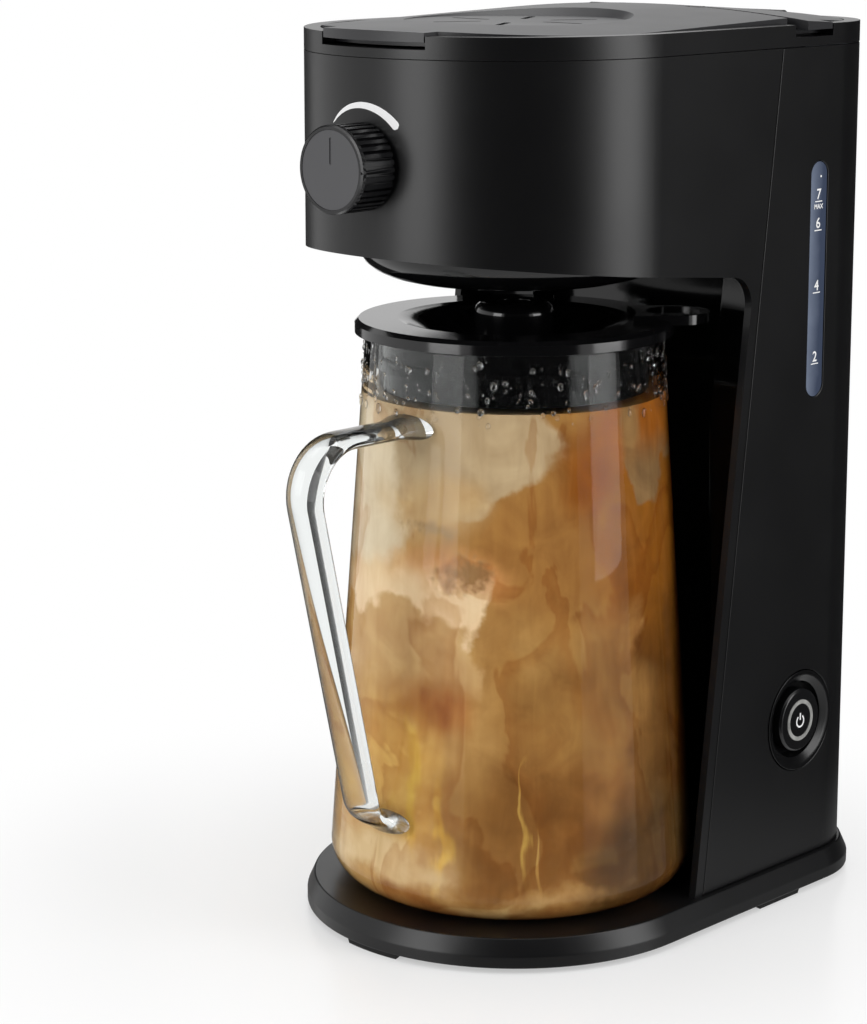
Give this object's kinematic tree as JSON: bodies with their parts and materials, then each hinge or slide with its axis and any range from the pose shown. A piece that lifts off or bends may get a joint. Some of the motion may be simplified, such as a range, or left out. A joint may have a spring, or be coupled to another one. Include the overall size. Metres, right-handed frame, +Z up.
{
  "type": "iced tea maker",
  "caption": "Countertop iced tea maker: head over a glass jug with a glass handle, water tank tower with gauge window, hinged lids, strength knob and power button",
  "frame": {"origin": "on the table under the middle of the machine's bounding box", "axes": "+Z up, -Y to the front where the knob and the jug handle are, +X to the side with the gauge and the power button"},
  "size_m": [0.155, 0.246, 0.3355],
  "materials": {
    "housing_plastic": "satin black moulded plastic",
    "gloss_panel": "polished black plastic",
    "lid_plastic": "fine matt black plastic",
    "inner_plastic": "plain black plastic",
    "knob_plastic": "polished black plastic",
    "bezel_plastic": "satin black plastic",
    "jug_lid_plastic": "satin black plastic",
    "foot_rubber": "matt black rubber",
    "steel_parts": "plain steel",
    "aluminium_parts": "cast aluminium",
    "frosted_plastic": "frosted clear plastic",
    "gauge_plastic": "smoked clear plastic",
    "silicone": "soft silicone",
    "white_print": "white print and light guide",
    "jug_glass": "clear glass"
  },
  "bodies": {
    "machine": {"base_plate": "housing_plastic", "bottom_cover": "inner_plastic", "rubber_feet": "foot_rubber", "base_screws": "steel_parts", "front_housing": "housing_plastic", "back_shell": "housing_plastic", "tower_front": "gloss_panel", "head_floor": "inner_plastic", "top_collar": "housing_plastic", "front_lid_pin": "steel_parts", "tank_lid_pin": "steel_parts", "brew_chamber": "gloss_panel", "steeping_basket": "inner_plastic", "basket_filter": "steel_parts", "water_tank": "frosted_plastic", "gauge_window": "gauge_plastic", "heater": "aluminium_parts", "heater_bracket": "steel_parts", "thermostat": "steel_parts", "thermal_fuse": "steel_parts", "riser_pipe": "silicone", "outlet_spout": "inner_plastic", "tank_hose": "silicone", "heater_hose": "silicone", "check_valve": "frosted_plastic", "hose_clamps": "steel_parts", "cord_gland": "inner_plastic", "shaft_bush": "inner_plastic", "button_bezel": "bezel_plastic", "power_switch": "inner_plastic"},
    "front_lid": {"front_lid": "lid_plastic"},
    "tank_lid": {"tank_lid": "lid_plastic"},
    "selector": {"knob": "knob_plastic", "knob_cap": "knob_plastic", "knob_shaft": "steel_parts", "shaft_clip": "steel_parts", "strength_shutter": "inner_plastic"},
    "button": {"power_button": "knob_plastic", "button_light": "white_print"},
    "jug": {"jug_glass": "jug_glass", "jug_handle": "jug_glass"},
    "jug_cover": {"jug_lid": "jug_lid_plastic", "jug_lid_hub": "jug_lid_plastic", "jug_lid_seal": "foot_rubber"}
  },
  "joints": [
    {"name": "front_lid_hinge", "type": "hinge", "parent": "machine", "child": "front_lid", "pos_m": [0, 0.0615, 0.3324], "axis": [-1, 0, 0], "range_deg": [0, 95]},
    {"name": "tank_lid_hinge", "type": "hinge", "parent": "machine", "child": "tank_lid", "pos_m": [0, 0.1112, 0.3293], "axis": [-1, 0, 0], "range_deg": [0, 75]},
    {"name": "strength_knob_turn", "type": "hinge", "parent": "machine", "child": "selector", "pos_m": [0, -0.09, 0.285], "axis": [0, 1, 0], "range_deg": [-60, 60]},
    {"name": "power_button_press", "type": "slide", "parent": "machine", "child": "button", "axis": [-1, 0, 0], "range_m": [0, 0.002], "stiffness_N_per_m": 400},
    {"name": "jug_slide", "type": "slide", "parent": "machine", "child": "jug", "axis": [0, -1, 0], "range_m": [0, 0.25]},
    {"name": "jug_lid_turn", "type": "hinge", "parent": "jug", "child": "jug_cover", "pos_m": [0, -0.0125, 0.22], "axis": [0, 0, 1], "continuous": true}
  ]
}
